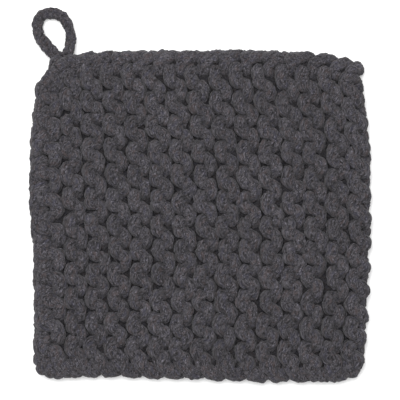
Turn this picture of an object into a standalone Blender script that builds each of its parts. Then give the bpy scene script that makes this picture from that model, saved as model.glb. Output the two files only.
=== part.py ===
"""A knitted pot holder: a thick square of cotton yarn with a chained hanging loop at one corner.

It lies flat with its face up. Lengths are in metres. +X is the right of the face, +Y is its top and
+Z points up out of it. The square is knitted in garter stitch and lies so that its ridges run up and
down the face: each ridge is a column of S-shaped stitches, and a groove parts it from the next one.
Places on the cloth are given as two shares: "across" is 0 at the left edge and 1 at the right edge,
and "down" is 0 at the top edge and 1 at the bottom edge.
The origin is the centre of the whole outline, on the surface that the pot holder lies on.
"""
import math

import bmesh
import bpy
from mathutils import Matrix, Vector

MM = 0.001

# The knitted square: how thick it is, and how deep its stitches are raised.
FACE_HEIGHT = 12.0 * MM  # top of the stitches, above the surface that the square lies on
FACE_RELIEF = 4.2 * MM  # from the top of a stitch down to the deepest gap beside it
BACK_RELIEF = 3.2 * MM
CHAIN_HEIGHT = 9.4 * MM  # top of the chain of stitches along the top and bottom edges
CHAIN_RELIEF = 2.6 * MM
RIM_TOP = 6.2 * MM  # the rim is a low wall around the whole outline
RIM_BOTTOM = 2.2 * MM

# How the stitches are laid out.
LEFT_BORDER = 0.100  # share across of the first groove, right of the wide stitches at the left edge
RIGHT_BORDER = 0.940  # share across of the last groove
MIDDLE_RIDGES = 13  # ridges between the first and the last groove
TOP_BORDER = 0.035  # share down of the groove below the top chain
BOTTOM_BORDER = 0.9425  # share down of the groove above the bottom chain
STITCHES_DOWN = 12  # stitches in each ridge
STEPS = 4  # rows of points to a stitch
ZIGZAG = 1.4 * MM  # how far a groove swings to each side, pushed by the stitches that bulge into it

# The outline of the square, edge by edge.
TOP_EDGE = (
    # across, y in mm
    (0.000, 94.9),
    (0.030, 94.5),
    (0.065, 93.6),
    (0.130, 94.8),
    (0.200, 97.2),
    (0.290, 98.2),
    (0.500, 98.1),
    (0.630, 98.6),
    (0.720, 98.1),
    (0.870, 97.2),
    (0.935, 95.0),
    (1.000, 90.4),
)
BOTTOM_EDGE = (
    # across, y in mm
    (0.000, -93.4),
    (0.035, -95.8),
    (0.130, -95.2),
    (0.290, -95.5),
    (0.500, -96.9),
    (0.620, -98.0),
    (0.810, -98.6),
    (0.940, -97.8),
    (1.000, -95.6),
)
LEFT_EDGE = (
    # down, x in mm
    (0.000, -97.0),
    (0.110, -97.6),
    (0.170, -98.8),
    (0.260, -101.0),
    (0.450, -101.8),
    (0.550, -100.7),
    (0.610, -99.3),
    (0.930, -98.6),
    (1.000, -95.6),
)
RIGHT_EDGE = (
    # down, x in mm
    (0.000, 95.6),
    (0.045, 96.6),
    (0.150, 97.6),
    (0.210, 99.8),
    (0.260, 101.0),
    (0.530, 101.0),
    (0.620, 100.4),
    (0.820, 98.7),
    (0.920, 97.5),
    (0.970, 95.6),
    (1.000, 91.6),
)
# How far the middle of the ridges leans to the right of a straight line between the two sides.
LEAN = (
    # down, lean in mm
    (0.000, -4.2),
    (0.200, -1.8),
    (0.500, 0.0),
    (0.800, 0.0),
    (1.000, -1.2),
)
# The top left corner is drawn in by the loop that is fastened there.
CORNER_PULL = (7.2 * MM, -2.1 * MM)
CORNER_REACH = 8.5 * MM  # the pull fades over about this distance

# Each ridge has four lines of points down it. These are their places across the ridge.
RIDGE_LINES = (
    # line, share of a middle ridge, share of the wide ridge at the left edge
    ("groove", 0.00, 0.00),
    ("left", 0.20, 0.34),
    ("crossing", 0.50, 0.62),
    ("right", 0.78, 0.82),
)
# How high the face stands on each line, at each quarter of a stitch, from 0 in the deepest gap to 1 on
# top of the yarn. The yarn bulges left, crosses the ridge on its way down and bulges right.
FACE_STITCH = (
    # groove, left, crossing, right
    (0.15, 0.05, 0.65, 1.00),
    (0.30, 0.72, 0.45, 0.72),
    (0.15, 1.00, 0.65, 0.05),
    (0.30, 0.72, 0.95, 0.72),
)
# The same for the back, which lies on the surface: there the yarn is pressed flat along each ridge.
BACK_STITCH = (
    # groove, left, crossing, right
    (0.05, 0.15, 1.00, 1.00),
    (0.05, 1.00, 1.00, 0.15),
)
# The chain along the top and bottom edges: one slanting strand to each ridge.
CHAIN_LINK = (0.80, 0.10, 0.80, 1.00)
CHAIN_BULGE = (0.6 * MM, 0.3 * MM, -0.4 * MM, -0.5 * MM)  # how far the outline swells on each line
SIDE_BULGE = (-0.4 * MM, 0.1 * MM, 0.4 * MM, 0.1 * MM)  # the same down the sides, at each quarter
SMOOTH_CORNER = 0.16  # share across up to which the top outline has no swells, where the loop sits

# The hanging loop: a closed teardrop of chained cord, fastened where it meets the square.
LOOP_PATH = (
    # x, y, width in mm
    (-82.1, 94.6, 5.7),
    (-85.4, 95.4, 6.4),
    (-88.4, 98.2, 6.8),
    (-91.5, 101.7, 6.8),
    (-94.4, 105.6, 6.5),
    (-96.3, 110.1, 5.8),
    (-96.4, 114.2, 5.7),
    (-94.6, 118.1, 6.0),
    (-91.0, 120.3, 6.2),
    (-86.9, 120.7, 6.2),
    (-82.8, 119.0, 6.0),
    (-79.7, 115.7, 5.7),
    (-77.9, 111.3, 5.5),
    (-77.2, 106.2, 5.5),
    (-77.7, 101.2, 5.6),
    (-79.1, 96.9, 5.7),
)
LOOP_LINKS = 22  # chain stitches in the cord
LOOP_STEPS = 4  # rings of points to a chain stitch
LOOP_SIDES = 10
LOOP_RIDGE = 0.12  # how much narrower the cord is between two chain stitches, as a share of its width
LOOP_THICKNESS = 0.88  # its height as a share of its width
LOOP_ROOT_Z = 4.1 * MM  # height of the cord's centre where it meets the square
LOOP_FLOOR_GAP = 0.05 * MM  # the cord's far end lies this close above the surface
SEAM_LEFT = (-89.3, 92.9)  # x and y in mm of the seam between the loop and the square
SEAM_RIGHT = (-73.8, 94.8)
SEAM_GAP = 0.3 * MM

YARN_COLOUR = (0.065, 0.062, 0.066, 1.0)
YARN_ROUGHNESS = 0.95
SHARP_ANGLE = math.radians(50.0)  # edges sharper than this are shaded as creases


def read_table(table, place):
    """The value in a two-column table at a place, on a smooth line through its rows."""
    for (start, low), (end, high) in zip(table, table[1:]):
        if place <= end:
            share = (place - start) / (end - start)
            return low + (high - low) * (3.0 - 2.0 * share) * share * share
    return table[-1][1]


def cloth_point(across, down):
    """Where a point of the cloth lies, seen from above."""
    left = read_table(LEFT_EDGE, down) * MM
    right = read_table(RIGHT_EDGE, down) * MM
    top = read_table(TOP_EDGE, across) * MM
    bottom = read_table(BOTTOM_EDGE, across) * MM
    lean = read_table(LEAN, down) * MM * math.sin(math.pi * across)
    x = left + (right - left) * across + lean
    y = top + (bottom - top) * down
    corner_x = LEFT_EDGE[0][1] * MM
    corner_y = TOP_EDGE[0][1] * MM
    away = math.hypot(x - corner_x, y - corner_y)
    pull = math.exp(-((away / CORNER_REACH) ** 2))
    return x + CORNER_PULL[0] * pull, y + CORNER_PULL[1] * pull


def lines_across():
    """Every line of points down the cloth: its place in a ridge, and its share across."""
    pitch = (RIGHT_BORDER - LEFT_BORDER) / MIDDLE_RIDGES
    starts = [0.0] + [LEFT_BORDER + pitch * ridge for ridge in range(MIDDLE_RIDGES)] + [RIGHT_BORDER]
    ends = starts[1:] + [1.0]
    lines = []
    for ridge, (start, end) in enumerate(zip(starts, ends)):
        for place, (_, middle_share, wide_share) in enumerate(RIDGE_LINES):
            share = wide_share if ridge == 0 else middle_share
            lines.append((place, start + (end - start) * share))
    lines.append((0, 1.0))
    return lines


def rows_down():
    """Every row of points across the cloth: which kind it is, its quarter of a stitch and its share down."""
    rows = [("rim", 0, 0.0), ("chain", 0, TOP_BORDER * 0.5)]
    step = (BOTTOM_BORDER - TOP_BORDER) / (STITCHES_DOWN * STEPS)
    for count in range(STITCHES_DOWN * STEPS + 1):
        rows.append(("stitch", count % STEPS, TOP_BORDER + step * count))
    rows.append(("chain", 0, (BOTTOM_BORDER + 1.0) * 0.5))
    rows.append(("rim", 0, 1.0))
    return rows


def plan_point(row, line, last_line):
    """Where the point of one row and one line lies, seen from above, with its groove's swing and swells."""
    kind, quarter, down = row
    place, across = line
    x, y = cloth_point(across, down)
    on_side = across in (0.0, 1.0)
    outward = -1.0 if across == 0.0 else 1.0
    if kind == "rim" and across > SMOOTH_CORNER:
        upward = 1.0 if down == 0.0 else -1.0
        y += upward * CHAIN_BULGE[0 if line == last_line else place]
    if kind == "stitch" and on_side:
        x += outward * SIDE_BULGE[quarter]
    if kind == "stitch" and place == 0 and not on_side:
        x += ZIGZAG * math.cos(math.pi * 2.0 * quarter / STEPS)
    return x, y


def face_height(kind, quarter, place):
    """Height of the face above the surface, for a point inside the rim."""
    if kind == "chain":
        return CHAIN_HEIGHT - CHAIN_RELIEF * (1.0 - CHAIN_LINK[place])
    return FACE_HEIGHT - FACE_RELIEF * (1.0 - FACE_STITCH[quarter][place])


def back_height(kind, quarter, place):
    """Height of the back above the surface, for a point inside the rim."""
    if kind == "chain":
        return 0.0
    return BACK_RELIEF * (1.0 - BACK_STITCH[quarter * 2 // STEPS][place])


def add_side(mesh, rows, lines, rim_z, height):
    """Points of one side of the square, row by row, with its rim at one height all round."""
    points = []
    for row in rows:
        kind, quarter, _ = row
        line_points = []
        for line in lines:
            x, y = plan_point(row, line, lines[-1])
            on_rim = kind == "rim" or line[1] in (0.0, 1.0)
            z = rim_z if on_rim else height(kind, quarter, line[0])
            line_points.append(mesh.verts.new((x, y, z)))
        points.append(line_points)
    return points


def add_quads(mesh, points, up, higher):
    """Two triangles to each cell of a grid, split so that the yarn's crest stays whole."""
    for upper, lower in zip(points, points[1:]):
        for place in range(len(upper) - 1):
            a, b = upper[place], upper[place + 1]
            c, d = lower[place + 1], lower[place]
            crest_ac = (a.co.z + c.co.z) * higher
            crest_bd = (b.co.z + d.co.z) * higher
            halves = ((a, c, b), (a, d, c)) if crest_ac >= crest_bd else ((a, d, b), (b, d, c))
            for half in halves:
                mesh.faces.new(half if up else half[::-1])


def add_rim_wall(mesh, face, back, back_rows):
    """The low wall around the outline, which joins the face's many rows to the back's fewer ones."""
    for top_row, bottom_row, outward in ((face[0], back[0], True), (face[-1], back[-1], False)):
        for place in range(len(top_row) - 1):
            wall = (top_row[place], top_row[place + 1], bottom_row[place + 1], bottom_row[place])
            mesh.faces.new(wall if outward else wall[::-1])
    for side, outward in ((0, False), (-1, True)):
        for upper, lower in zip(back_rows, back_rows[1:]):
            shared = [face[row][side] for row in range(upper, lower + 1)]
            low_start = back[back_rows.index(upper)][side]
            low_end = back[back_rows.index(lower)][side]
            middle = len(shared) // 2
            walls = [(shared[i], shared[i + 1], low_start) for i in range(middle)]
            walls.append((shared[middle], low_end, low_start))
            walls += [(shared[i], shared[i + 1], low_end) for i in range(middle, len(shared) - 1)]
            for wall in walls:
                mesh.faces.new(wall if outward else wall[::-1])


def build_square():
    """The knitted square as one closed body, stitches raised on both sides."""
    rows = rows_down()
    lines = lines_across()
    back_rows = [n for n, row in enumerate(rows) if row[0] != "stitch" or row[1] % (STEPS // 2) == 0]
    mesh = bmesh.new()
    face = add_side(mesh, rows, lines, RIM_TOP, face_height)
    back = add_side(mesh, [rows[n] for n in back_rows], lines, RIM_BOTTOM, back_height)
    add_quads(mesh, face, True, 1.0)
    add_quads(mesh, back, False, -1.0)
    add_rim_wall(mesh, face, back, back_rows)
    bmesh.ops.recalc_face_normals(mesh, faces=mesh.faces[:])
    return add_object("knitted_square", mesh)


def smooth_ring(table, count):
    """Evenly spaced points (x, y, width) on a closed smooth curve through a table's rows."""
    fine = 24
    points = [Vector(row) * MM for row in table]
    curve = []
    for number, start in enumerate(points):
        before, end = points[number - 1], points[(number + 1) % len(points)]
        after = points[(number + 2) % len(points)]
        for step in range(fine):
            t = step / fine
            bend = 2.0 * before - 5.0 * start + 4.0 * end - after
            swing = 3.0 * start - before - 3.0 * end + after
            curve.append(start + 0.5 * ((end - before) * t + bend * t ** 2 + swing * t ** 3))
    lengths = [0.0]
    for start, end in zip(curve, curve[1:] + curve[:1]):
        lengths.append(lengths[-1] + (end.xy - start.xy).length)
    even = []
    place = 0
    for number in range(count):
        wanted = lengths[-1] * number / count
        while lengths[place + 1] < wanted:
            place += 1
        share = (wanted - lengths[place]) / (lengths[place + 1] - lengths[place])
        even.append(curve[place].lerp(curve[(place + 1) % len(curve)], share))
    return even


def build_loop():
    """The hanging loop: a closed chained cord, cut flat along the seam where it meets the square."""
    count = LOOP_LINKS * LOOP_STEPS
    path = smooth_ring(LOOP_PATH, count)
    root_y = min(point.y for point in path)
    reach = max(point.y for point in path) - root_y
    mesh = bmesh.new()
    rings = []
    for number, point in enumerate(path):
        ahead = path[(number + 1) % count].xy - path[number - 1].xy
        sideways = Vector((ahead.y, -ahead.x)).normalized()
        swell = 0.5 + 0.5 * math.cos(2.0 * math.pi * number / LOOP_STEPS)
        half_width = 0.5 * point.z * (1.0 - LOOP_RIDGE * (1.0 - swell))
        half_height = half_width * LOOP_THICKNESS
        lying_z = 0.5 * point.z * LOOP_THICKNESS + LOOP_FLOOR_GAP
        share = (point.y - root_y) / reach
        z = LOOP_ROOT_Z + (lying_z - LOOP_ROOT_Z) * math.sin(0.5 * math.pi * share)
        ring = []
        for side in range(LOOP_SIDES):
            angle = 2.0 * math.pi * side / LOOP_SIDES
            out = sideways * (half_width * math.cos(angle))
            ring.append(mesh.verts.new((point.x + out.x, point.y + out.y, z + half_height * math.sin(angle))))
        rings.append(ring)
    for number, ring in enumerate(rings):
        following = rings[(number + 1) % count]
        for side in range(LOOP_SIDES):
            after = (side + 1) % LOOP_SIDES
            mesh.faces.new((ring[side], ring[after], following[after], following[side]))
    seam_start = Vector((*SEAM_LEFT, 0.0)) * MM
    seam_end = Vector((*SEAM_RIGHT, 0.0)) * MM
    along = (seam_end - seam_start).normalized()
    away = Vector((-along.y, along.x, 0.0))
    cut = bmesh.ops.bisect_plane(
        mesh,
        geom=mesh.verts[:] + mesh.edges[:] + mesh.faces[:],
        dist=0.01 * MM,
        plane_co=seam_start + away * SEAM_GAP,
        plane_no=away,
        clear_inner=True,
    )
    edges = [item for item in cut["geom_cut"] if isinstance(item, bmesh.types.BMEdge)]
    bmesh.ops.holes_fill(mesh, edges=edges, sides=0)
    bmesh.ops.triangulate(mesh, faces=mesh.faces[:])
    bmesh.ops.recalc_face_normals(mesh, faces=mesh.faces[:])
    return add_object("hanging_loop", mesh)


def add_object(name, mesh):
    """A named object of its own from a finished bmesh, with its yarn material."""
    data = bpy.data.meshes.new(name)
    mesh.to_mesh(data)
    mesh.free()
    data.shade_smooth()
    data.set_sharp_from_angle(angle=SHARP_ANGLE)
    data.materials.append(yarn_material(f"{name}_yarn"))
    thing = bpy.data.objects.new(name, data)
    bpy.context.scene.collection.objects.link(thing)
    return thing


def yarn_material(name):
    """Dark grey cotton yarn."""
    material = bpy.data.materials.new(name)
    material.use_nodes = True
    shader = material.node_tree.nodes["Principled BSDF"]
    shader.inputs["Base Color"].default_value = YARN_COLOUR
    shader.inputs["Roughness"].default_value = YARN_ROUGHNESS
    shader.inputs["Metallic"].default_value = 0.0
    return material


def centre_on_origin(things):
    """Shift everything sideways so that the origin is the centre of the whole outline."""
    xs = [vertex.co.x for thing in things for vertex in thing.data.vertices]
    ys = [vertex.co.y for thing in things for vertex in thing.data.vertices]
    shift = Vector((-0.5 * (min(xs) + max(xs)), -0.5 * (min(ys) + max(ys)), 0.0))
    for thing in things:
        thing.data.transform(Matrix.Translation(shift))


def main():
    for thing in list(bpy.data.objects):
        bpy.data.objects.remove(thing)
    centre_on_origin([build_square(), build_loop()])


main()
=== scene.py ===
# %% [markdown]
# # A knitted pot holder, stitch by stitch
#
# The pot holder is a thick square, hand-knitted in garter stitch from chunky dark grey cotton yarn,
# with a small chained loop at one corner. A knitted surface could be faked with a bump pattern, but
# here every stitch is as big as a fingertip and casts its own shadow, so each one is modelled as a
# real strand of yarn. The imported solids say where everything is, and this script dresses them.

# %% The frame
import math

import bpy
import numpy as np
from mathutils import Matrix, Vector


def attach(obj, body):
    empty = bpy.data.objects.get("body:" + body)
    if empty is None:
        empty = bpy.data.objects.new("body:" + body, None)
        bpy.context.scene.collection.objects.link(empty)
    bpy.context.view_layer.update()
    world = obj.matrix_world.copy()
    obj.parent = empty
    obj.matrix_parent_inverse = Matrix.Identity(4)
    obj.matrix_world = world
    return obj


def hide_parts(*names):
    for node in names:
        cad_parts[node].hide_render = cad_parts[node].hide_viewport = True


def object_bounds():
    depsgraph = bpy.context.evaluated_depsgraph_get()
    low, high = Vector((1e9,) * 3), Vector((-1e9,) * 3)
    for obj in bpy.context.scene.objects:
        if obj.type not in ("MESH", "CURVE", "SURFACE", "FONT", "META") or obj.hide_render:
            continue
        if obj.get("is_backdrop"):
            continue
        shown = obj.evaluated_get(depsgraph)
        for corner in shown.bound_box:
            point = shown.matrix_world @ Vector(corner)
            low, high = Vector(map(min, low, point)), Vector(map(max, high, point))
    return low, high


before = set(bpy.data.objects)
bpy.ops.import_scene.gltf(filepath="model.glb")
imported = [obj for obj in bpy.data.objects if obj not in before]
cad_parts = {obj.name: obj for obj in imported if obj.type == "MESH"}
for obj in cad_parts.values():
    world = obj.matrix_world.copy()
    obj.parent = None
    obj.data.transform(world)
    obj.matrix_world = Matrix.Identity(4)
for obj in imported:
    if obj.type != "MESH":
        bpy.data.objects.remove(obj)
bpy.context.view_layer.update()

MM = 0.001

# %% [markdown]
# ## The four edges
#
# A hand-knitted square is never quite square. Its four edges are written as short tables, the same ones
# that its solid was made from. They could be drawn as curve objects instead. A table that is eased from
# row to row gives a place on its edge for any share of its length, and NumPy reads hundreds at once.

# %% The four edges
TOP_EDGE = (
    # across, y in mm
    (0.0, 94.9), (0.03, 94.5), (0.065, 93.6), (0.13, 94.8), (0.2, 97.2), (0.29, 98.2),
    (0.5, 98.1), (0.63, 98.6), (0.72, 98.1), (0.87, 97.2), (0.935, 95.0), (1.0, 90.4),
)
BOTTOM_EDGE = (
    # across, y in mm
    (0.0, -93.4), (0.035, -95.8), (0.13, -95.2), (0.29, -95.5), (0.5, -96.9),
    (0.62, -98.0), (0.81, -98.6), (0.94, -97.8), (1.0, -95.6),
)
LEFT_EDGE = (
    # down, x in mm
    (0.0, -97.0), (0.11, -97.6), (0.17, -98.8), (0.26, -101.0), (0.45, -101.8),
    (0.55, -100.7), (0.61, -99.3), (0.93, -98.6), (1.0, -95.6),
)
RIGHT_EDGE = (
    # down, x in mm
    (0.0, 95.6), (0.045, 96.6), (0.15, 97.6), (0.21, 99.8), (0.26, 101.0), (0.53, 101.0),
    (0.62, 100.4), (0.82, 98.7), (0.92, 97.5), (0.97, 95.6), (1.0, 91.6),
)
TABLES_TO_FRAME = np.array([0.4, -12.4, 0.0])  # in mm, from the tables' origin to the frame's


def read_table(table, place):
    """Values of a two-column table at an array of places, eased between its rows."""
    keys, values = np.array(table).T
    place = np.clip(place, keys[0], keys[-1])
    row = np.clip(np.searchsorted(keys, place, side="right") - 1, 0, len(keys) - 2)
    share = (place - keys[row]) / (keys[row + 1] - keys[row])
    share = share * share * (3 - 2 * share)
    return values[row] + (values[row + 1] - values[row]) * share


print("x down the left edge, mm:", read_table(LEFT_EDGE, [0, 0.5, 1]).round(1))

# %% [markdown]
# ## Any point of the cloth
#
# A point of the cloth is given by two shares: "across" from the left edge to the right edge, and "down"
# from the top edge to the bottom edge. On the real square the ridges lean a little and the loop draws its
# corner in. A lattice could bend the finished meshes that way, but it would squash the yarn as well. Here
# the lean and the pull are part of the step from shares to millimetres, so the strands only move.

# %% Any point of the cloth
LEAN = (
    # down, how far the ridges lean to the left of a straight line between the two sides, in mm
    (0.00, 6.0), (0.10, 5.2), (0.20, 3.2), (0.30, 1.6), (0.42, 0.0), (0.55, -0.2),
    (0.70, 0.4), (0.85, 1.9), (1.00, 2.6),
)
LEAN_SKEW = 0.6  # the lean is strongest left of the middle
CORNER_PULL = (7.2, -2.1)  # in mm: the loop draws its corner in
CORNER_REACH = 8.5


def cloth_xy(across, down):
    """Points of the cloth seen from above, in mm."""
    across, down = np.broadcast_arrays(np.asarray(across, float), np.asarray(down, float))
    left, right = read_table(LEFT_EDGE, down), read_table(RIGHT_EDGE, down)
    top, bottom = read_table(TOP_EDGE, across), read_table(BOTTOM_EDGE, across)
    x = left + (right - left) * across
    x = x - read_table(LEAN, down) * np.sin(math.pi * np.clip(across, 0, 1) ** LEAN_SKEW)
    y = top + (bottom - top) * down
    away = np.hypot(x - LEFT_EDGE[0][1], y - TOP_EDGE[0][1])
    pull = np.exp(-((away / CORNER_REACH) ** 2))
    return x + CORNER_PULL[0] * pull, y + CORNER_PULL[1] * pull


corners_x, corners_y = cloth_xy([0, 1, 1, 0], [0, 0, 1, 1])
print("corners of the square, mm:", corners_x.round(1), corners_y.round(1))

# %% [markdown]
# ## Smooth paths
#
# Knitting is one long strand, but only its short floats show, and yarn never kinks. So the few points of a
# float are joined by a smooth curve that passes through all of them. Blender's curve objects could do this
# one strand at a time. One formula does all the strands of a piece at once, and smooths their thickness
# along with their places.

# %% Smooth paths
def smooth_path(points, count):
    """Samples of a Catmull-Rom curve through each row of points (strands, points, values)."""
    before = 2 * points[:, :1] - points[:, 1:2]
    after = 2 * points[:, -1:] - points[:, -2:-1]
    padded = np.concatenate([before, points, after], 1)
    place = np.linspace(0, points.shape[1] - 1, count)
    start = np.minimum(place.astype(int), points.shape[1] - 2)
    t = (place - start)[None, :, None]
    a, b, c, d = (padded[:, start + step] for step in range(4))
    bend = 2 * a - 5 * b + 4 * c - d
    swing = 3 * b - a - 3 * c + d
    return b + 0.5 * ((c - a) * t + bend * t ** 2 + swing * t ** 3)


sharp_turn = np.array([[(0.0, 0.0), (1.0, 0.0), (1.0, 1.0)]])
print("a sharp turn, made smooth:", smooth_path(sharp_turn, 5)[0].round(2).tolist())

# %% [markdown]
# ## Lumps in the yarn
#
# Cotton yarn is thicker in one place than in the next. A Displace modifier with a noise texture could
# make it lumpy, but that noise would run straight on from one strand into its neighbour. A sum of waves,
# read in the strand's own coordinates, bends and twists with it.

# %% Lumps in the yarn
LUMP_SEED = 3
LUMP_WAVES = 14
LUMP_LENGTHS = (1.6, 4.5)  # shortest and longest wave, in mm
LUMP_SIZE = 0.30  # in mm


def lumps(place):
    """How far the yarn's surface stands out of its mean, in mm."""
    waves = np.random.default_rng(LUMP_SEED)
    total = np.zeros(place.shape[:-1])
    for _ in range(LUMP_WAVES):
        way = waves.normal(size=3)
        way *= 2 * math.pi / waves.uniform(*LUMP_LENGTHS) / np.linalg.norm(way)
        total += np.sin(place @ way + waves.uniform(0, 2 * math.pi))
    return LUMP_SIZE * total / math.sqrt(0.5 * LUMP_WAVES)


straight_yarn = np.linspace((0, 0, 0), (100, 0, 0), 500)
print("lumps, from low to high, mm:", np.ptp(lumps(straight_yarn)).round(2))

# %% [markdown]
# ## Which side of a strand is up
#
# A tube needs an upward side at every sample of its path. Straight up would do while a strand lies flat,
# but where it dives into the cloth the tube would spin round and pinch. So the upward side is chosen in the
# middle of each strand and carried to both ends, without turning round it.

# %% Which side of a strand is up
def carried_up(ahead):
    """The upward side of each strand, carried from its middle to both ends."""
    strands, samples, _ = ahead.shape
    up = np.zeros((strands, samples, 3))
    middle = samples // 2
    for order in (range(middle, samples), range(middle, -1, -1)):
        last = np.tile((0.0, 0.0, 1.0), (strands, 1))
        for sample in order:
            here = ahead[:, sample]
            last = last - np.sum(last * here, axis=1, keepdims=True) * here
            last = last / np.linalg.norm(last, axis=1, keepdims=True)
            up[:, sample] = last
    return up


dive = np.array([[(1.0, 0.0, 0.0), (0.8, 0.0, -0.6), (0.0, 0.0, -1.0)]])
print("upward sides on the way down:", carried_up(dive)[0].round(2).tolist())

# %% [markdown]
# ## Boxy, and never folded
#
# Neighbouring strands press each other's sides flat, so the ring round a strand is a little boxier than an
# ellipse. On the inner side of a tight bend real yarn bunches up, but a swept tube folds over itself. The
# folds could be smoothed out later. Holding the points back in time is simpler.

# %% Boxy, and never folded
BOXINESS = 2.6  # 2 is an ellipse, more is boxier
FOLD_LIMIT = 0.85  # the inner side of a bend goes no further than this share of the way to its centre
TINY = 1e-9  # keeps a length of zero from being divided by


def boxy(wave):
    """A sine or cosine that makes a circle boxier."""
    return np.sign(wave) * np.abs(wave) ** (2 / BOXINESS)


def unfolded(skin, bend):
    """Steps from a path to its skin, held back where they would pass the centre of a bend."""
    too_far = np.maximum(np.sum(skin * bend, axis=3, keepdims=True) - FOLD_LIMIT, 0)
    return skin - bend * too_far / (np.sum(bend * bend, axis=3, keepdims=True) + TINY)


print("a boxy quarter turn:", boxy(np.cos([0, 0.4, 0.8, 1.2])).round(2))

# %% [markdown]
# ## The skin of a strand
#
# A ring of points is set round every sample of a strand's path. The bevel of a curve object could do this,
# but a mesh made here can carry an extra attribute: the place of every point in the straight, unbent yarn.
# The material reads it, so that the fibres run along each strand, however it bends.

# %% The skin of a strand
TWIST = 2.0 * math.pi / 55.0  # the plies turn once round the yarn in 55 mm
YARN_SHIFT = 500.0  # in mm: each strand is cut from another place of the yarn, up to this far away


def length_along(path):
    """How far along its strand each sample lies, in mm."""
    steps = np.linalg.norm(np.diff(path, axis=1), axis=2)
    return np.concatenate([np.zeros((len(path), 1)), np.cumsum(steps, axis=1)], 1)


def strand_skin(path, half_width, half_height, sides, rng, twist):
    """Points and yarn coordinates of tubes along paths (strands, samples, xyz), in mm."""
    ahead = np.gradient(path, axis=1)
    pace = np.linalg.norm(ahead, axis=2, keepdims=True) + TINY
    ahead = ahead / pace
    bend = (np.gradient(ahead, axis=1) / pace)[:, :, None]
    upward = carried_up(ahead)
    sideways = np.cross(ahead, upward)
    angle = (2 * math.pi * np.arange(sides) / sides)[None, None, :]
    out = (boxy(np.cos(angle)) * half_width[..., None])[..., None] * sideways[:, :, None]
    up = (boxy(np.sin(angle)) * half_height[..., None])[..., None] * upward[:, :, None]
    along = length_along(path)[:, :, None]
    turn = angle + twist * along
    radius = 0.5 * (half_width + half_height)[..., None]
    yarn = np.stack([along + 0 * turn, radius * np.cos(turn), radius * np.sin(turn)], 3)
    yarn = yarn + rng.uniform(-YARN_SHIFT, YARN_SHIFT, (len(path), 1, 1, 3))
    bulge = 1 + lumps(yarn) / (radius + TINY)
    points = path[:, :, None] + unfolded((out + up) * bulge[..., None], bend)
    return points.reshape(-1, 3), yarn.reshape(-1, 3)


print("yarn turns", round(math.degrees(TWIST), 1), "degrees a mm")

# %% [markdown]
# ## Faces, and the ends of a strand
#
# The points become faces: squares between one ring and the next, and one polygon at each end. Most ends
# are hidden inside the cloth and stay blunt. Where an end shows, on the edges, a real strand rounds off as
# it goes under its neighbour. A sphere could be set on it, but that leaves a seam. Instead the last rings
# shrink as a dome does, almost down to a tip.

# %% Faces, and the ends of a strand
END_SHARE = 0.01  # the tip is where a dome has this far to go, in half widths


def domed(half_width, half_height, along):
    """Half widths and half heights that close like a dome at both ends of each strand."""
    from_end = np.minimum(along, along[:, -1:] - along) / half_width
    dome = np.sqrt(1 - (1 - np.clip(from_end, END_SHARE, 1)) ** 2)
    return half_width * dome, half_height * dome


def tube_faces(strands, samples, sides):
    """The squares round all the tubes, and the polygons that cap them."""
    ring = np.arange(samples * sides).reshape(samples, sides)
    beside = np.roll(ring, -1, 1)
    quads = np.stack([ring[:-1], beside[:-1], beside[1:], ring[1:]], 2).reshape(-1, 4)
    first = (np.arange(strands) * samples * sides)[:, None, None]
    caps = (np.stack([ring[0][::-1], ring[-1]])[None] + first).reshape(-1, sides)
    return (quads[None] + first).reshape(-1, 4), caps


print("squares and caps of a tube of 3 rings:", [len(faces) for faces in tube_faces(1, 3, 8)])

# %% [markdown]
# ## One piece of many strands
#
# Each group of strands becomes one mesh. Every strand could be an object of its own and then be joined,
# but hundreds of joins are slow, and arrays can be handed over in one go. Each strand also gets a tone of
# its own, as no two lengths of yarn take the dye alike. What would sink into the surface that the cloth
# lies on is pressed flat there.

# %% One piece of many strands
LOWEST = 0.05  # in mm: nothing goes below this height over the surface


def strand_piece(name, paths, half_widths, half_heights, sides, rng, twist=TWIST, round_ends=False):
    """One mesh object of many strands, with its yarn coordinates and tones as attributes."""
    if round_ends:
        half_widths, half_heights = domed(half_widths, half_heights, length_along(paths))
    points, yarn = strand_skin(paths, half_widths, half_heights, sides, rng, twist)
    points[:, 2] = np.maximum(points[:, 2], LOWEST)
    quads, caps = tube_faces(*paths.shape[:2], sides)
    corners = np.concatenate([quads.ravel(), caps.ravel()])
    starts = np.concatenate([np.arange(len(quads)) * 4, len(quads) * 4 + np.arange(len(caps)) * sides])
    mesh = bpy.data.meshes.new(name)
    mesh.vertices.add(len(points))
    mesh.vertices.foreach_set("co", ((points + TABLES_TO_FRAME) * MM).ravel())
    mesh.loops.add(len(corners))
    mesh.loops.foreach_set("vertex_index", corners)
    mesh.polygons.add(len(starts))
    mesh.polygons.foreach_set("loop_start", starts)
    mesh.update(calc_edges=True)
    mesh.shade_smooth()
    mesh.attributes.new("yarn", "FLOAT_VECTOR", "POINT").data.foreach_set("vector", yarn.ravel())
    tones = np.repeat(rng.uniform(0, 1, len(paths)), len(points) // len(paths))
    mesh.attributes.new("tone", "FLOAT", "POINT").data.foreach_set("value", tones)
    piece = bpy.data.objects.new(name, mesh)
    bpy.context.scene.collection.objects.link(piece)
    print(name, "-", len(paths), "strands,", len(quads) * 2 + len(caps) * (sides - 2), "triangles")
    return piece


print("strands lie at least", LOWEST, "mm above the surface")
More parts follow.
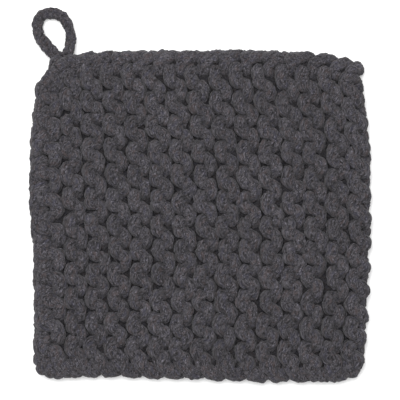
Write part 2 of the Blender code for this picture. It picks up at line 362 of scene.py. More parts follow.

# %% [markdown]
# ## One stitch
#
# Seen from the front, each ridge of garter stitch is a column of S-shaped floats. A float comes up from
# inside the cloth, bulges left, crosses the ridge on its way down, bulges right and dives in again. The
# next one starts one stitch lower, with its left bulge beside the last one's right bulge. A formula could
# draw an S, but a short table of points gets the squarish bulges of a pressed stitch.

# %% One stitch
THICKNESS = 12.0  # of the whole cloth, in mm
HALF_WIDTH = 3.79  # of the yarn, in mm
HALF_HEIGHT = 2.95
CREST = THICKNESS - HALF_HEIGHT  # height of a strand's centre on top of a ridge
STITCH = (
    # across the ridge, down in stitches, height above the crest in mm, size
    (0.37, -0.21, -6.0, 0.95), (0.31, -0.225, -3.0, 1.05), (0.25, -0.21, -0.8, 1.10),
    (0.22, -0.11, 0.0, 1.03), (0.225, 0.03, 0.0, 1.01), (0.25, 0.14, -0.1, 1.07),
    (0.36, 0.21, -0.8, 1.05), (0.52, 0.26, -1.4, 0.96), (0.67, 0.325, -0.5, 0.94),
    (0.735, 0.43, 0.0, 0.93), (0.745, 0.56, 0.0, 0.88), (0.725, 0.68, -0.7, 0.94),
    (0.67, 0.715, -3.0, 0.97), (0.61, 0.70, -6.0, 0.90),
)
print("on a crest a strand's centre is", round(CREST, 2), "mm up")

# %% [markdown]
# ## Ridges and rows
#
# The real square has fifteen ridges of twelve stitches. The first and the last ridge wrap round the sides
# and have widths of their own, and thirteen even ones lie between them. Each could be placed by hand, but
# a ridge is only a share across and a stitch a share down, so a few borders place them all.

# %% Ridges and rows
LEFT_BORDER, RIGHT_BORDER, MIDDLE_RIDGES = 0.100, 0.940, 13
TOP_BORDER, BOTTOM_BORDER, STITCHES_DOWN = 0.035, 0.9425, 12
ridge_pitch = (RIGHT_BORDER - LEFT_BORDER) / MIDDLE_RIDGES
ridge_starts = np.array([0.0, *(LEFT_BORDER + ridge_pitch * np.arange(MIDDLE_RIDGES)), RIGHT_BORDER])
ridge_widths = np.diff([*ridge_starts, 1.0])


def down_share(stitches):
    """Share down the cloth of a place counted in stitches from the top border."""
    return TOP_BORDER + (BOTTOM_BORDER - TOP_BORDER) * np.asarray(stitches) / STITCHES_DOWN


print(len(ridge_starts), "ridges of", STITCHES_DOWN, "stitches")

# %% [markdown]
# ## Repeating a float
#
# One table becomes a whole field of floats. An Array modifier would copy it exactly, but hands are never
# that even: each float is moved a little, bent a little and made a little thicker or thinner. The chance
# is seeded, so the same pot holder comes out each time. The back is the same field, turned over.

# %% Repeating a float
MOVED = (1.0, 1.0, 0.5)  # a whole float is moved by this much of the unevenness along x, y and z
BENT, BENT_UP = 0.5, 0.6  # each of its points by this much, and by less still along z
THICKENED = 0.1  # and its size changes by this share for each mm of unevenness
UNEVEN = 0.42  # in mm


def floats(table, starts, widths, stitches, samples, rng, uneven=UNEVEN, side=1, mirrored=False):
    """Paths and sizes of one float for each start and stitch. Side -1 turns them over, onto the back."""
    table, count = np.array(table), np.shape(stitches)[-1]
    stitch = np.broadcast_to(stitches, (len(starts), count)).ravel()
    start, width = np.repeat(starts, count), np.repeat(widths, count)
    place = table[:, 0] if side > 0 or mirrored else 1 - table[:, 0]
    across = start[:, None] + width[:, None] * place
    x, y = cloth_xy(1 - across if mirrored else across, down_share(stitch[:, None] + table[:, 1]))
    height = CREST + table[:, 2]
    z = (height if side > 0 else THICKNESS - height) + np.zeros_like(x)
    moved = rng.normal(0, uneven, (len(x), 1, 3)) * MOVED
    bent = rng.normal(0, BENT * uneven, (len(x), len(table), 3)) * (1.0, 1.0, BENT_UP)
    points = np.stack([x, y, z], 2) + moved + bent
    size = table[:, 3] * rng.normal(1, THICKENED * uneven, (len(x), 1))
    smooth = smooth_path(np.concatenate([points, size[..., None]], 2), samples)
    return smooth[..., :3], smooth[..., 3]


print("floats are uneven by", UNEVEN, "mm")

# %% [markdown]
# ## Stitches that differ
#
# The stitches of the outer ridges have one bulge squeezed round the side of the cloth: wide and fat on the
# left, narrow on the right. Stretching the common table would fatten both bulges alike, so each side has a
# table of its own. Near the left side the rows also climb, because the loop pulls them up. The first row
# is drawn up under the chain of the top edge.

# %% Stitches that differ
LEFT_STITCH = (
    # across the ridge, down in stitches, height above the crest in mm, size
    (0.50, -0.28, -5.5, 0.95), (0.44, -0.33, -2.8, 1.20), (0.38, -0.27, -1.1, 1.38),
    (0.33, -0.11, -0.7, 1.46), (0.34, 0.05, -0.5, 1.44), (0.42, 0.16, -0.4, 1.30),
    (0.55, 0.19, -0.6, 1.10), (0.72, 0.20, -0.3, 1.08), (0.81, 0.31, 0.0, 1.10),
    (0.82, 0.51, 0.0, 1.10), (0.80, 0.71, -0.5, 1.08), (0.75, 0.80, -2.6, 1.02),
    (0.68, 0.79, -6.0, 0.85),
)
RIGHT_STITCH = (
    (0.42, -0.22, -6.0, 0.95), (0.34, -0.235, -3.0, 1.02), (0.26, -0.22, -0.8, 1.06),
    (0.20, -0.12, 0.0, 1.04), (0.21, 0.03, 0.0, 1.04), (0.28, 0.15, -0.1, 1.08),
    (0.42, 0.24, -0.4, 1.05), (0.58, 0.31, -0.7, 0.99), (0.70, 0.39, -0.9, 1.02),
    (0.745, 0.50, -1.0, 1.04), (0.74, 0.60, -1.4, 1.02), (0.70, 0.68, -2.6, 0.98),
    (0.62, 0.71, -4.8, 0.93), (0.53, 0.70, -7.0, 0.85),
)
SLIM = (1, 1, 1, 0.80)  # on the back, the left stitches lie on the narrow ridge and are thinner by this
HALF_STITCH = 5  # points that the first left stitch leaves out, where the corner strands cover it
FIRST_RISE = (0.14, 0.14, 0.14, 0.06)  # how much higher the first stitch of a ridge starts, in stitches
STITCH_MIDDLE = 0.615  # how far below the border the middle of the first left bulge is, in stitches
LEFT_RISE = (
    # down, how much higher the stitches of the left edge sit than their neighbours, in stitches
    (0.10, 0.60), (0.30, 0.53), (0.45, 0.42), (0.60, 0.20), (1.00, 0.14),
)
RIDGE_RISE = (1.0, 0.50, 0.25, 0.1)  # the share of it that the ridges from the left edge have

rows = np.arange(STITCHES_DOWN) + STITCH_MIDDLE
rise_share = np.zeros((len(ridge_widths), 1))
rise_share[:len(RIDGE_RISE), 0] = RIDGE_RISE
rows = rows - rise_share * read_table(LEFT_RISE, rows / STITCHES_DOWN)
first_stitch = np.array(STITCH)
first_stitch[:len(FIRST_RISE), 1] -= FIRST_RISE
print("first rows of the first ridges, in stitches:", rows[:5, 0].round(2))

# %% [markdown]
# ## All the floats of one side
#
# A short plan says which table goes on which ridges and which rows. Conditions in one big loop could
# choose the table too, but a plan can be read at a glance.

# %% All the floats of one side
def ridge_floats(samples, rng, side):
    """Paths, sizes and ridge numbers of all the floats on one side of the cloth."""
    left, middle, right = slice(0, 1), slice(1, -1), slice(-1, None)
    top, below, all_rows = slice(0, 1), slice(1, None), slice(None)
    left_table, right_table = LEFT_STITCH, RIGHT_STITCH
    if side < 0:
        left_table, right_table = RIGHT_STITCH, np.array(LEFT_STITCH) * SLIM
    plan = [
        (left_table, left, below),
        (first_stitch, middle, top),
        (STITCH, middle, below),
        (right_table, right, all_rows),
    ]
    if side > 0:
        plan.append((left_table[HALF_STITCH:], left, top))
    parts = []
    for table, ridges, down in plan:
        numbers = np.arange(len(ridge_widths))[ridges]
        starts, widths, mine = ridge_starts[ridges], ridge_widths[ridges], rows[ridges, down]
        parts.append((*floats(table, starts, widths, mine, samples, rng, side=side),
                      np.repeat(numbers, mine.shape[1])))
    return (np.concatenate(part) for part in zip(*parts))


print("each side has about", rows.size, "floats")

# %% [markdown]
# ## The face
#
# The face is what the photograph shows, so its strands have the most samples and sides. One mesh of them
# all would be heavy, so the ridges are shared out over three pieces. No seam shows, as every strand is
# whole.

# %% The face
STITCH_SEED = 7
FACE_SAMPLES, FACE_SIDES = 60, 24
RIDGES_A_PIECE = 5
rng = np.random.default_rng(STITCH_SEED)
paths, sizes, ridges = ridge_floats(FACE_SAMPLES, rng, 1)
face = []
for third, name in enumerate(("face_stitches_left", "face_stitches_middle", "face_stitches_right")):
    mine = ridges // RIDGES_A_PIECE == third
    wide, high = sizes[mine] * HALF_WIDTH, sizes[mine] * HALF_HEIGHT
    face.append(strand_piece(name, paths[mine], wide, high, FACE_SIDES, rng))

# %% [markdown]
# ## The back
#
# Garter stitch looks the same from both sides: it is thick and lies flat, which suits a pot holder. The
# back could be left plain, but the object is looked at from every side, so the same floats are turned
# over, with fewer samples and sides.

# %% The back
BACK_SAMPLES, BACK_SIDES = 34, 14
paths, sizes, _ = ridge_floats(BACK_SAMPLES, rng, -1)
back = strand_piece("back_stitches", paths, sizes * HALF_WIDTH, sizes * HALF_HEIGHT, BACK_SIDES, rng)

# %% [markdown]
# ## Links of the edge chains
#
# The first row of knitting was cast on and the last one cast off, which leaves a chain along two edges.
# Each link is one slanting strand: it comes out of the ridge below it, leans over to the next ridge and
# goes down behind the next link. A rope along the edge would look alike from far away, but it would not
# be fastened to the stitches, so each link is a float of its own. The two edges slant opposite ways.

# %% Links of the edge chains
TOP_LINK = (
    # across the ridge, down in stitches from the top border, height above the crest in mm, size
    (0.70, 0.42, -6.0, 0.85), (0.73, 0.38, -3.4, 0.93), (0.75, 0.30, -1.7, 0.96),
    (0.74, 0.17, -1.1, 0.94), (0.73, 0.06, -0.9, 0.93), (0.82, -0.04, -0.6, 0.93),
    (0.99, -0.13, -0.6, 0.93), (1.18, -0.215, -1.0, 0.95), (1.38, -0.262, -2.0, 0.95),
    (1.57, -0.245, -4.0, 0.92), (1.76, -0.19, -6.2, 0.88), (1.92, -0.14, -7.6, 0.80),
)
BOTTOM_LINK = (
    # across the ridge, down in stitches from the bottom border, height above the crest in mm, size
    (0.44, -0.16, -5.0, 0.80), (0.46, 0.04, -2.0, 0.95), (0.58, 0.21, -1.0, 1.04),
    (0.80, 0.36, -1.4, 1.08), (1.05, 0.48, -2.1, 1.10), (1.30, 0.53, -3.0, 1.08),
    (1.52, 0.51, -4.4, 1.00), (1.70, 0.44, -6.2, 0.85),
)
BOTTOM_FIRST = (-0.012, 0.045)  # where the first two links of the bottom edge start, in shares across
link_width = ridge_pitch * np.ones(MIDDLE_RIDGES + 1)
link_width[-2:] *= (0.90, 0.52)  # the last links are cut short by the corner
bottom_starts = np.array([*BOTTOM_FIRST, *ridge_starts[1:]])
bottom_width = np.array([ridge_pitch, ridge_pitch, *link_width])
print(len(link_width), "links at the top and", len(bottom_width), "at the bottom")

# %% [markdown]
# ## The edge chains
#
# The links are laid one after another along both edges, on the face and turned over on the back, where
# the last ones at the top are left out, because the loop is fastened there. Copies of one link would line
# up too well, so each is a float with its own unevenness. Their ends show from the side and are rounded.

# %% The edge chains
LINK_SAMPLES, LINK_SIDES, LINK_UNEVEN = 30, 16, 0.3
LEFT_OUT = 3  # links at the top of the back
link_parts = []
for side, top_starts in ((1, ridge_starts[1:]), (-1, ridge_starts[1:-LEFT_OUT])):
    links = [(TOP_LINK, 0, *place) for place in zip(top_starts, link_width)]
    links += [(BOTTOM_LINK, STITCHES_DOWN, *place) for place in zip(bottom_starts, bottom_width)]
    for table, row, start, width in links:
        made = (LINK_SAMPLES, rng, LINK_UNEVEN, side, side < 0)
        link_parts.append(floats(table, [start], [width], [row], *made))
paths, sizes = (np.concatenate(part) for part in zip(*link_parts))
wide, high = sizes * HALF_WIDTH, sizes * HALF_HEIGHT
edges = strand_piece("edge_chains", paths, wide, high, LINK_SIDES, rng, round_ends=True)

# %% [markdown]
# ## The corner strands
#
# Where the loop starts, a smooth strand runs round the corner of the square into the left edge, the
# loop's root is wrapped beside it, and the first link of the top chain comes out beneath it. They don't
# follow the ridges, so shares of the cloth would only get in the way. They are drawn straight in
# millimetres instead, and repeated upside down for the back of the corner.

# %% The corner strands
COLLAR = (
    # x, y in mm, height of the centre in mm, size
    (-71.6, 92.4, 4.5, 0.80), (-74.2, 92.9, 7.8, 0.92), (-77.9, 92.2, 9.8, 1.00),
    (-82.0, 90.2, 10.4, 1.05), (-85.5, 87.3, 10.5, 1.05), (-88.4, 83.9, 10.3, 1.04),
    (-91.0, 80.4, 9.9, 1.03), (-92.9, 76.8, 9.2, 1.02), (-93.5, 73.0, 8.2, 1.00),
    (-93.5, 69.6, 6.6, 0.90), (-93.3, 66.6, 4.6, 0.80),
)
FIRST_LINK = (
    (-77.4, 87.6, 4.0, 0.80), (-75.6, 89.3, 7.6, 0.95), (-72.6, 91.0, 8.9, 0.98),
    (-69.0, 92.2, 8.6, 0.97), (-65.7, 93.2, 7.6, 0.95), (-62.5, 94.2, 5.8, 0.90), (-60.1, 94.8, 4.0, 0.80),
)
LOOP_ROOT = (
    (-82.3, 94.3, 5.6, 0.85), (-85.1, 92.5, 7.4, 0.95), (-86.8, 90.1, 8.0, 0.98),
    (-87.0, 87.2, 7.6, 0.95), (-85.6, 83.9, 5.6, 0.80),
)
CORNER_HALF_WIDTH = 3.3  # in mm
CORNER_SAMPLES, CORNER_SIDES = 50, 20
corner_parts = []
for table in (COLLAR, FIRST_LINK, LOOP_ROOT):
    shown = np.array(table)[None]
    turned = shown * (1, 1, -1, 1) + (0, 0, THICKNESS, 0)
    corner_parts.append(smooth_path(np.concatenate([shown, turned]), CORNER_SAMPLES))
smooth = np.concatenate(corner_parts)
wide, high = smooth[..., 3] * CORNER_HALF_WIDTH, smooth[..., 3] * HALF_HEIGHT
corner = strand_piece("corner_strands", smooth[..., :3], wide, high, CORNER_SIDES, rng, round_ends=True)

# %% [markdown]
# ## The turns along the sides
#
# At the end of each row the yarn turns and goes back, and the turns lie one on the other along both
# sides. A row of short bows could stand for them, but hardly more than a line shows between the big
# bulges. So two long uneven strands wind round each other down each side, half a turn for each stitch.

# %% The turns along the sides
SIDE_PAIRS = (
    # side, in from the outline, height of the pair's middle, how far each strand winds up (all in mm), size
    ("left", 4.0, 6.6, 2.3, 1.00),
    ("right", 4.0, 3.0, 0.5, 0.88),
)
SIDE_SWING = 0.6  # in mm: how far each strand winds outwards
SIDE_HALF_WIDTH = 3.4
SIDE_FROM, SIDE_TO, SIDE_POINTS = 0.10, 0.965, 66  # shares down where they start and end, and points between
SIDE_OUT, SIDE_UP, SIDE_SIZE = 0.16, 0.2, 0.035  # in mm, and a share of the size
SIDE_SAMPLES, SIDE_SIDES = 240, 16


def side_strands(rng):
    """Paths and sizes of the strands along the sides."""
    down = np.linspace(SIDE_FROM, SIDE_TO, SIDE_POINTS)
    turn = math.pi * (down - SIDE_FROM) / (down_share(1) - down_share(0))
    strands = []
    for side, inward, height, rise, size in SIDE_PAIRS:
        edge_x, y = cloth_xy(0.0 if side == "left" else 1.0, down)
        for start in (0.0, math.pi):
            depth = inward + SIDE_SWING * np.cos(turn + start) + rng.normal(0, SIDE_OUT, SIDE_POINTS)
            x = edge_x + (depth if side == "left" else -depth)
            z = height + rise * np.sin(turn + start) + rng.normal(0, SIDE_UP, SIDE_POINTS)
            sizes = size * (1 + rng.normal(0, SIDE_SIZE, SIDE_POINTS))
            strands.append(np.stack([x, y, z, sizes], 1))
    smooth = smooth_path(np.array(strands), SIDE_SAMPLES)
    return smooth[..., :3], smooth[..., 3]


paths, sizes = side_strands(rng)
wide, high = sizes * SIDE_HALF_WIDTH, sizes * HALF_HEIGHT
sides = strand_piece("side_turns", paths, wide, high, SIDE_SIDES, rng, round_ends=True)

# %% [markdown]
# ## The inside of the cloth
#
# Between the two faces the strands interlock. None of that shows but for what can be seen at the bottom
# of the small holes between stitches. Modelling every hidden loop would double the mesh for nothing, so
# one uneven sheet of inner yarn fills the middle.

# %% The inside of the cloth
INSET = 4.0  # in mm, how far the sheet stays inside the outline
CLOTH_WIDTH, CLOTH_HEIGHT = 200.0, 195.0  # in mm, roughly
SHEET_CELLS = (110, 106)
SHEET_LOW, SHEET_HIGH = 4.4, 7.6
SHEET_RIM, RIM_WIDTH = 0.3, 2.0  # in mm: half the rim's thickness, and its width
CUT_POINT, CUT_WAY = (-88.0, 84.0), (-0.76, 0.65)  # the corner under the loop is cut off across this way
WAVE_SIZE = 0.35  # in mm
WAVE_PITCH = (0.96, 0.42, 0.84)  # in radians a mm: across, of the waves' wandering, and along
WAVE_WANDER = 1.3  # in radians


def sheet_surfaces(columns, rows):
    """Top and bottom points of the sheet, in mm."""
    across, down = np.meshgrid(np.linspace(0, 1, columns + 1), np.linspace(0, 1, rows + 1), indexing="ij")
    inset = INSET / CLOTH_WIDTH
    x, y = cloth_xy(inset + across * (1 - 2 * inset), inset + down * (1 - 2 * inset))
    beyond = np.maximum((x - CUT_POINT[0]) * CUT_WAY[0] + (y - CUT_POINT[1]) * CUT_WAY[1], 0)
    x, y = x - beyond * CUT_WAY[0], y - beyond * CUT_WAY[1]
    wander = WAVE_WANDER * np.sin(y * WAVE_PITCH[1])
    wave = np.sin(x * WAVE_PITCH[0] + wander) * np.cos(y * WAVE_PITCH[2])
    to_side, to_end = np.minimum(across, 1 - across), np.minimum(down, 1 - down)
    edge = np.minimum(to_side * CLOTH_WIDTH, to_end * CLOTH_HEIGHT)
    closing = np.clip(edge / RIM_WIDTH, 0, 1) ** 0.5
    middle = 0.5 * (SHEET_LOW + SHEET_HIGH) + WAVE_SIZE * wave * closing
    half = 0.5 * (SHEET_HIGH - SHEET_LOW) * closing + SHEET_RIM
    return [np.stack([x, y, middle + way * half], 2).reshape(-1, 3) for way in (1, -1)]


sheet_points = np.concatenate(sheet_surfaces(*SHEET_CELLS))
print(len(sheet_points), "points in the sheet")

# %% [markdown]
# ## Closing the sheet
#
# A Solidify modifier could make one surface a closed sheet, but with a square rim. Here the two surfaces
# come close together at the rim, and a narrow wall of faces joins them.

# %% Closing the sheet
def sheet_faces(columns, rows):
    """Faces of the top, of the bottom and of the wall between their rims."""
    grid = np.arange((columns + 1) * (rows + 1)).reshape(columns + 1, rows + 1)
    cell = np.stack([grid[:-1, :-1], grid[:-1, 1:], grid[1:, 1:], grid[1:, :-1]], 2).reshape(-1, 4)
    ring = np.concatenate([grid[:, 0], grid[-1, 1:], grid[-2::-1, -1], grid[0, -2:0:-1]])
    after = np.roll(ring, -1)
    wall = np.stack([ring, after, after + grid.size, ring + grid.size], 1)
    return np.concatenate([cell, cell[:, ::-1] + grid.size, wall])


sheet_polygons = sheet_faces(*SHEET_CELLS)
sheet_mesh = bpy.data.meshes.new("inner_yarn_sheet")
sheet_mesh.from_pydata(((sheet_points + TABLES_TO_FRAME) * MM).tolist(), [], sheet_polygons.tolist())
sheet_mesh.shade_smooth()
inner = bpy.data.objects.new("inner_yarn_sheet", sheet_mesh)
bpy.context.scene.collection.objects.link(inner)
print(inner.name, "-", len(sheet_polygons) * 2, "triangles")

# %% [markdown]
# ## The cord of the hanging loop
#
# The loop is a short cord, folded into a teardrop, and a little wider on its left. Its middle line is a
# closed smooth curve through a few points. A Bezier circle could be bent to it, but this way the width
# is smoothed along with the line, and each chain stitch can ask for its place on it.

# %% The cord of the hanging loop
LOOP_PATH = (
    # x, y, width in mm: a closed teardrop
    (-82.1, 94.6, 5.7), (-85.4, 95.4, 6.4), (-88.4, 98.2, 6.8), (-91.5, 101.7, 6.8),
    (-94.8, 105.9, 6.6), (-96.9, 110.3, 6.0), (-97.2, 114.6, 5.9), (-95.5, 118.6, 6.1),
    (-91.6, 120.9, 6.2), (-86.9, 121.0, 6.2), (-82.8, 119.2, 6.0), (-79.7, 115.8, 5.7),
    (-77.9, 111.3, 5.5), (-77.2, 106.2, 5.5), (-77.7, 101.2, 5.6), (-79.1, 96.9, 5.7),
)
LOOP_ROOT_Z = 5.2  # height of the cord's centre at the corner of the square
LOOP_FLATNESS, LOOP_GAP = 0.9, 0.1  # the cord's height as a share of its width, and its gap to the surface
CORD_ROWS, CORD_FINENESS = 400, 20


def closed_curve(table, count):
    """Evenly spaced rows on a closed smooth curve through a table's rows, and its length."""
    points = np.array(table)
    ring = np.concatenate([points[-1:], points, points[:2]])[None]
    fine = smooth_path(ring, CORD_FINENESS * (len(ring[0]) - 1) + 1)[0][CORD_FINENESS:-CORD_FINENESS]
    length = np.concatenate([[0], np.cumsum(np.hypot(*np.diff(fine[:, :2], axis=0).T))])
    wanted = np.linspace(0, length[-1], count, endpoint=False)
    return np.stack([np.interp(wanted, length, fine[:, n]) for n in range(points.shape[1])], 1), length[-1]


cord, cord_length = closed_curve(LOOP_PATH, CORD_ROWS)
ahead = np.roll(cord, -1, 0)[:, :2] - np.roll(cord, 1, 0)[:, :2]
ahead /= np.linalg.norm(ahead, axis=1, keepdims=True)
root_y = cord[:, 1].min()
reach = cord[:, 1].max() - root_y
lying_z = 0.5 * cord[:, 2] * LOOP_FLATNESS + LOOP_GAP
cord_z = LOOP_ROOT_Z + (lying_z - LOOP_ROOT_Z) * np.sin(0.5 * math.pi * (cord[:, 1] - root_y) / reach)
cord = np.concatenate([cord, ahead, cord_z[:, None]], 1)
print("the cord is", round(cord_length, 1), "mm round")

# %% [markdown]
# ## Its chain stitches
#
# The cord is a chain, made from a thinner end of the same yarn. A plain tube with a bump pattern would
# look like rope. Real chain stitches lie in two rows of slanting lobes that meet in the middle like a
# plait, so each link has a left and a right lobe, on the front and, half a link further on, on the back.

# %% Its chain stitches
LOBE = (
    # along in links, out in half widths, up in half widths, size
    (-0.80, -0.10, -0.35, 0.60), (-0.45, 0.16, 0.12, 0.90), (-0.05, 0.42, 0.36, 1.00),
    (0.35, 0.58, 0.30, 1.00), (0.72, 0.48, 0.02, 0.95), (1.00, 0.22, -0.28, 0.80),
    (1.20, 0.00, -0.45, 0.60),
)
LOOP_LINKS = 23
LOBE_SHARE, LOBE_FLATNESS = 0.47, 0.95  # a lobe's half width in half widths of the cord, and its height
LOBE_SAMPLES, LOBE_SIDES = 16, 10
LOBE_TWIST = 2 * math.pi / 14.0  # thinner yarn is twisted tighter
LOBE_ALONG, LOBE_OUT, LOBE_SIZE = 0.05, 0.08, 0.05  # in links, in mm, and a share of the size


def on_cord(place):
    """Rows of the closed cord at places counted in links."""
    spot = (np.asarray(place) % LOOP_LINKS) / LOOP_LINKS * len(cord)
    low = spot.astype(int) % len(cord)
    share = (spot - np.floor(spot))[..., None]
    return cord[low] * (1 - share) + cord[(low + 1) % len(cord)] * share


def cord_lobes(side, over, rng):
    """Points and half widths of the lobes on one side of the cord, over it or under it."""
    lobe = np.array(LOBE)
    link = np.arange(LOOP_LINKS)[:, None] + (0.5 if over < 0 else 0.0)
    link = link + rng.normal(0, LOBE_ALONG, (LOOP_LINKS, 1))
    spot = on_cord(link + lobe[None, :, 0])
    half = 0.5 * spot[..., 2]
    out = side * lobe[:, 1] * half + rng.normal(0, LOBE_OUT, (LOOP_LINKS, 1))
    x = spot[..., 0] + spot[..., 4] * out
    y = spot[..., 1] - spot[..., 3] * out
    z = spot[..., 5] + over * lobe[:, 2] * half
    size = lobe[:, 3] * half * LOBE_SHARE * rng.normal(1, LOBE_SIZE, (LOOP_LINKS, 1))
    return np.stack([x, y, z, size], 2)


lobes = [cord_lobes(side, over, rng) for side in (-1, 1) for over in (1, -1)]
smooth = smooth_path(np.concatenate(lobes), LOBE_SAMPLES)
wide, high = smooth[..., 3], smooth[..., 3] * LOBE_FLATNESS
loop = strand_piece("chained_loop", smooth[..., :3], wide, high, LOBE_SIDES, rng, twist=LOBE_TWIST)

# %% [markdown]
# ## Shader maths as plain expressions
#
# A material is a graph of nodes. It could be wired by hand, link by link, but a formula is easier to read.
# This class wraps a node's output. Sums with wrapped outputs add the Math nodes that work them out, and
# one method adds any other kind of node.

# %% Shader maths
class Wire:
    """An output socket of a node, which takes part in sums like a number."""

    def __init__(self, tree, socket=None):
        self.tree, self.socket = tree, socket

    def node(self, kind, settings=(), inputs=(), output=0):
        """Any node: its settings are made first, then its sockets get values or links."""
        made = self.tree.nodes.new(kind)
        for name, value in dict(settings).items():
            setattr(made, name, value)
        for name, value in dict(inputs).items():
            if isinstance(value, Wire):
                self.tree.links.new(value.socket, made.inputs[name])
            else:
                made.inputs[name].default_value = value
        return Wire(self.tree, made.outputs[output])

    def maths(self, operation, *values):
        return self.node("ShaderNodeMath", {"operation": operation}, dict(enumerate(values)))

    def __add__(self, other):
        return self.maths("ADD", self, other)

    def __rsub__(self, other):
        return self.maths("SUBTRACT", other, self)

    def __sub__(self, other):
        return self.maths("SUBTRACT", self, other)

    def __mul__(self, other):
        return self.maths("MULTIPLY", self, other)

    __radd__, __rmul__ = __add__, __mul__

    def stretched(self, x, y, z):
        """This vector with each of its parts multiplied."""
        return self.node("ShaderNodeVectorMath", {"operation": "MULTIPLY"}, {0: self, 1: (x, y, z)})

    def eased(self, low, high):
        """0 below one value, 1 above another and smooth between them."""
        settings = {"interpolation_type": "SMOOTHSTEP"}
        return self.node("ShaderNodeMapRange", settings, {"Value": self, "From Min": low, "From Max": high})

    def noise(self, scale, detail=2.0, roughness=0.5):
        """Noise at this vector's places, from 0 to 1."""
        inputs = {"Vector": self, "Scale": scale, "Detail": detail, "Roughness": roughness}
        return self.node("ShaderNodeTexNoise", {"noise_dimensions": "3D"}, inputs)

    def tint(self, colour, amount):
        """This colour, mixed towards another one."""
        inputs = {0: amount, 6: self, 7: (*colour, 1)}
        return self.node("ShaderNodeMix", {"data_type": "RGBA"}, inputs, 2)


print("sums for wires: a + b, a - b, 1 - b and a * b")

# %% [markdown]
# ## A material to start from
#
# Cotton is dull, with only a faint sheen at its rim. Diffuse, glossy and velvet shaders could be mixed for
# that. Blender's Principled shader holds them all in balance, so each material here starts from it.

# %% A material to start from
SHINE, SHEEN_ROUGHNESS = 0.18, 0.5


def new_material(name, roughness, sheen=0.0):
    """A material with its Principled shader, and a wire to start its sums from."""
    material = bpy.data.materials.new(name)
    material.use_nodes = True
    shader = material.node_tree.nodes["Principled BSDF"]
    shader.inputs["Roughness"].default_value = roughness
    shader.inputs["Specular IOR Level"].default_value = SHINE
    shader.inputs["Sheen Weight"].default_value = sheen
    shader.inputs["Sheen Roughness"].default_value = SHEEN_ROUGHNESS
    return material, shader, Wire(material.node_tree)


print("shine of every material:", SHINE)

# %% [markdown]
# ## Where the yarn is read
#
# The fibres have to run along every strand, whichever way it bends. The object's own coordinates would
# cut straight through the strands. The two attributes that each strand carries say where a point lies in
# the unbent yarn, and which tone that length of it has. The sheet inside has no strands, so it does take
# the object's coordinates, and slow noise for its tones.

# %% Where the yarn is read
TONE_NOISE = 0.05  # changes of tone in each mm of the sheet


def yarn_place(wire, has_strands):
    """The place of a point in the unbent yarn, in mm, and its tone from 0 to 1."""
    if has_strands:
        place = wire.node("ShaderNodeAttribute", {"attribute_name": "yarn"}, output="Vector")
        return place, wire.node("ShaderNodeAttribute", {"attribute_name": "tone"}, output="Fac")
    place = wire.node("ShaderNodeTexCoord", output="Object").stretched(1 / MM, 1 / MM, 1 / MM)
    return place, place.noise(TONE_NOISE)


print("points of the loop that know their yarn:", len(loop.data.attributes["yarn"].data))

# %% [markdown]
# ## Heather yarn
#
# The yarn is spun from fibres of several greys with a few brown and blue ones, so close up it is streaky
# and flecked, and from a step away just dark grey. A painted picture could be wrapped round the strands,
# but it would blur close up and repeat. Noise never does. Streaks are noise that is stretched along the
# strand, and flecks are the rare places where other noise is at its highest or lowest.

# %% Heather yarn
YARN_NOISE = {
    # how fine it is along the strand and across it, then the noise's own scale, detail and roughness
    "streaks": (0.80, 1.2, 1.00, 3.0, 0.75),
    "fibres": (1.30, 2.6, 1.00, 2.0, 0.60),
    "warmth": (0.35, 0.6, 1.00, 2.0, 0.60),
    "lightness": (1.30, 1.7, 1.31, 1.0, 0.50),
}
DARKEST, LIGHTEST = 0.20, 1.72  # of the streaks, in shares of the yarn's mean colour
STREAK_EDGES = (0.34, 0.66)
FLECKS = (
    # red, green and blue in shares of the yarn's mean, noise where the fleck starts and where it is full
    ((1.40, 1.12, 1.02), 0.54, 0.66),
    ((0.90, 0.92, 1.20), 0.54, 0.66),
    ((4.00, 4.00, 4.30), 0.60, 0.70),
    ((0.15, 0.15, 0.15), 0.58, 0.70),
)
FLECK_STRENGTH, TONE_STRENGTH = 0.6, 0.15


def yarn_noise(place, kind):
    """One kind of noise from the table, read in the unbent yarn."""
    along, across, scale, detail, roughness = YARN_NOISE[kind]
    return place.stretched(along, across, across).noise(scale, detail, roughness)


def heather(wire, place, tone, streaks, mean):
    """The colour of the fibres round a mean colour."""
    mixed = {0: streaks.eased(*STREAK_EDGES), 6: (*(mean * DARKEST), 1), 7: (*(mean * LIGHTEST), 1)}
    colour = wire.node("ShaderNodeMix", {"data_type": "RGBA"}, mixed, 2)
    warmth, lightness = yarn_noise(place, "warmth"), yarn_noise(place, "lightness")
    for noise, (shares, start, full) in zip((warmth, 1 - warmth, lightness, 1 - lightness), FLECKS):
        colour = colour.tint(mean * shares, noise.eased(start, full) * FLECK_STRENGTH)
    return colour.tint((0.0, 0.0, 0.0), (1 - tone) * TONE_STRENGTH)


print(len(FLECKS), "kinds of fleck: brown, blue, pale and dark")

# %% [markdown]
# ## Yarn that is not smooth
#
# Loose fibres break up the light on real cotton. A hair system could grow them, at the cost of a very
# heavy scene. The noise that colours the yarn raises its surface too, by less than a millimetre, so each
# pale streak also stands out. Three yarns are made with it: for the square, for the loop, and one for
# the inside, darkened with painted shade, as little light gets in there.

# %% Yarn that is not smooth
YARN_ROUGHNESS, YARN_SHEEN = 0.92, 0.09
STREAKS_RAISE, FIBRES_RAISE = 0.6, 0.4  # shares of the bump
BUMP_HEIGHT = 0.7 * MM
YARN = np.array([0.0394, 0.0370, 0.0413])  # its mean colour
# the inner yarn keeps this share of the yarn's colour: painted shade for the depths between stitches
INSIDE_PAINTED_SHADE = 0.38


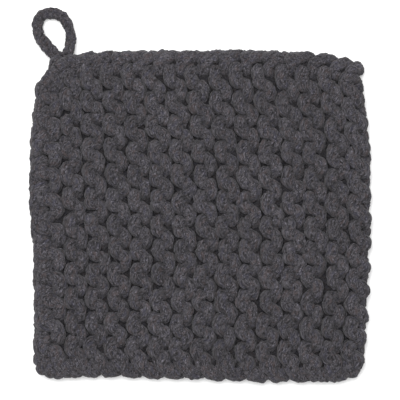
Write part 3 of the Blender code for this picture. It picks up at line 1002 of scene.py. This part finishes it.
def yarn_material(name, mean, has_strands=True):
    """Heathered cotton round a mean colour."""
    material, shader, wire = new_material(name, YARN_ROUGHNESS, YARN_SHEEN)
    place, tone = yarn_place(wire, has_strands)
    streaks = yarn_noise(place, "streaks")
    colour = heather(wire, place, tone, streaks, mean)
    height = streaks * STREAKS_RAISE + yarn_noise(place, "fibres") * FIBRES_RAISE
    bump = wire.node("ShaderNodeBump", (), {"Strength": 1.0, "Distance": BUMP_HEIGHT, "Height": height})
    wire.tree.links.new(colour.socket, shader.inputs["Base Color"])
    wire.tree.links.new(bump.socket, shader.inputs["Normal"])
    print(name, "has", len(wire.tree.nodes), "nodes")
    return material


knitted = yarn_material("knitted_yarn", YARN)
chained = yarn_material("chained_yarn", YARN)
# the inner sheet wears the yarn's colour darkened by painted shade
inside = yarn_material("inner_yarn", YARN * INSIDE_PAINTED_SHADE, False)
square_strands = (*face, back, edges, sides, corner)
for piece in square_strands:
    piece.data.materials.append(knitted)
loop.data.materials.append(chained)
inner.data.materials.append(inside)

# %% [markdown]
# ## Telling the frame
#
# Each piece rides on the only body there is, and the solid whose place it takes is hidden.

# %% Telling the frame
for piece in (*square_strands, inner):
    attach(piece, "root")
    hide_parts("knitted_square")
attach(loop, "root")
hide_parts("hanging_loop")
print(len(square_strands) + 2, "pieces dress", len(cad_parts), "solids")

# %% [markdown]
# ## The floor
#
# The pot holder lies on plain white. A shadow catcher could stand in for the ground, but a real pale
# plane also throws light back up between the stitches. It is a stage and no piece of the pot holder.

# %% The floor
FLOOR_REACH = 3  # in metres, each way
FLOOR_SHADE, FLOOR_ROUGHNESS = 0.93, 0.9
floor_mesh = bpy.data.meshes.new("floor")
floor_corners = [(FLOOR_REACH * x, FLOOR_REACH * y, 0) for x, y in ((-1, -1), (1, -1), (1, 1), (-1, 1))]
floor_mesh.from_pydata(floor_corners, [], [(0, 1, 2, 3)])
floor = bpy.data.objects.new("floor", floor_mesh)
bpy.context.scene.collection.objects.link(floor)
floor_material, floor_shader, _ = new_material("pale_floor", FLOOR_ROUGHNESS)
floor_shader.inputs["Base Color"].default_value = (FLOOR_SHADE, FLOOR_SHADE, FLOOR_SHADE, 1)
floor_mesh.materials.append(floor_material)
floor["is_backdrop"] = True
print("the floor is", 2 * FLOOR_REACH, "m wide")

# %% [markdown]
# ## The light
#
# The cloth is lit softly from all round, and a little more from its upper left. A ring of lamps could do
# that, with a shadow from each. A bright even sky does most of the work instead, and one large lamp gives
# the stitches a lit side. The plain "Standard" view keeps the colours as they are worked out.

# %% The light
SKY_STRENGTH = 0.84
LAMP_PLACE = Vector((-0.25, 0.45, 1.5))
LAMP_SIZE, LAMP_POWER = 1.2, 30  # in metres and watts
world = bpy.data.worlds.new("studio")
bpy.context.scene.world = world
world.use_nodes = True
world.node_tree.nodes["Background"].inputs["Color"].default_value = (1, 1, 1, 1)
world.node_tree.nodes["Background"].inputs["Strength"].default_value = SKY_STRENGTH
lamp = bpy.data.lights.new("soft_lamp", "AREA")
lamp.shape = "SQUARE"
lamp.size = LAMP_SIZE
lamp.energy = LAMP_POWER
lamp_object = bpy.data.objects.new("soft_lamp", lamp)
lamp_object.location = LAMP_PLACE
lamp_object.rotation_euler = LAMP_PLACE.to_track_quat("Z", "Y").to_euler()
bpy.context.scene.collection.objects.link(lamp_object)
bpy.context.scene.view_settings.view_transform = "Standard"
print("the lamp is", round(LAMP_PLACE.length, 2), "m away")

# %% [markdown]
# ## The camera
#
# The pot holder is seen from straight above. A camera without perspective would be simplest to aim, but a
# real one sees high stitches a little larger than low ones. So it hangs high over the cloth, and its lens
# is worked out from how much the picture should span.

# %% The camera
VIEW_WIDTH = 238.0 * MM  # across the whole picture, at the height of the stitches
VIEW_CENTRE = (0.0004, -0.0029)
STITCH_HEIGHT = 0.009
CAMERA_HEIGHT, FARTHEST = 1.6, 20  # in metres
SENSOR_WIDTH = 36  # in mm
camera_data = bpy.data.cameras.new("camera")
camera_data.sensor_width = SENSOR_WIDTH
camera_data.lens = SENSOR_WIDTH * (CAMERA_HEIGHT - STITCH_HEIGHT) / VIEW_WIDTH
camera_data.clip_end = FARTHEST
camera = bpy.data.objects.new("camera", camera_data)
camera.location = (*VIEW_CENTRE, CAMERA_HEIGHT)
bpy.context.scene.collection.objects.link(camera)
bpy.context.scene.camera = camera
print("the lens is", round(camera_data.lens), "mm")

# %% The size of the dressed model
low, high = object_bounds()
print("dressed model, mm:", [round(v / MM, 1) for v in (*low, *high)])
